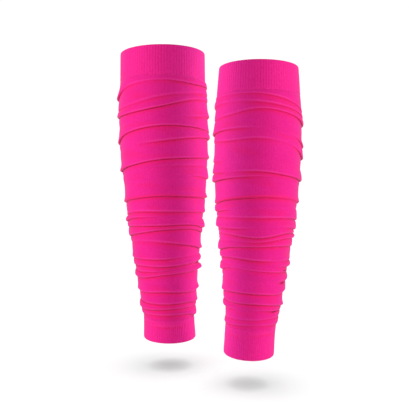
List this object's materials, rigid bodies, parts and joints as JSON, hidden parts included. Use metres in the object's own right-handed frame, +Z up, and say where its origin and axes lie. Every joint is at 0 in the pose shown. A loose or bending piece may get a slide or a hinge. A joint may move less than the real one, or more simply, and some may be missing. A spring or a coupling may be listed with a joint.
{
  "type": "pair of calf compression sleeves",
  "caption": "Pair of hollow, footless calf compression sleeves as worn, each a knitted tube with a ribbed band at calf and ankle and slanting slouch folds between.",
  "frame": {"origin": "on the axis of the leg that wears the left sleeve, at the calf's fullest girth", "axes": "+Z up the leg, -Y to the front that the picture shows, +X to the right seen from the front, from the left sleeve to the right one"},
  "size_m": [0.2379, 0.1348, 0.3857],
  "materials": {
    "plain_knit": "matte knit with a soft sheen",
    "ribbed_knit": "matte ribbed knit with a soft sheen"
  },
  "bodies": {
    "root": {"left_calf_cuff": "ribbed_knit", "left_tube": "plain_knit", "left_ankle_cuff": "ribbed_knit", "right_calf_cuff": "ribbed_knit", "right_tube": "plain_knit", "right_ankle_cuff": "ribbed_knit"}
  },
  "joints": []
}
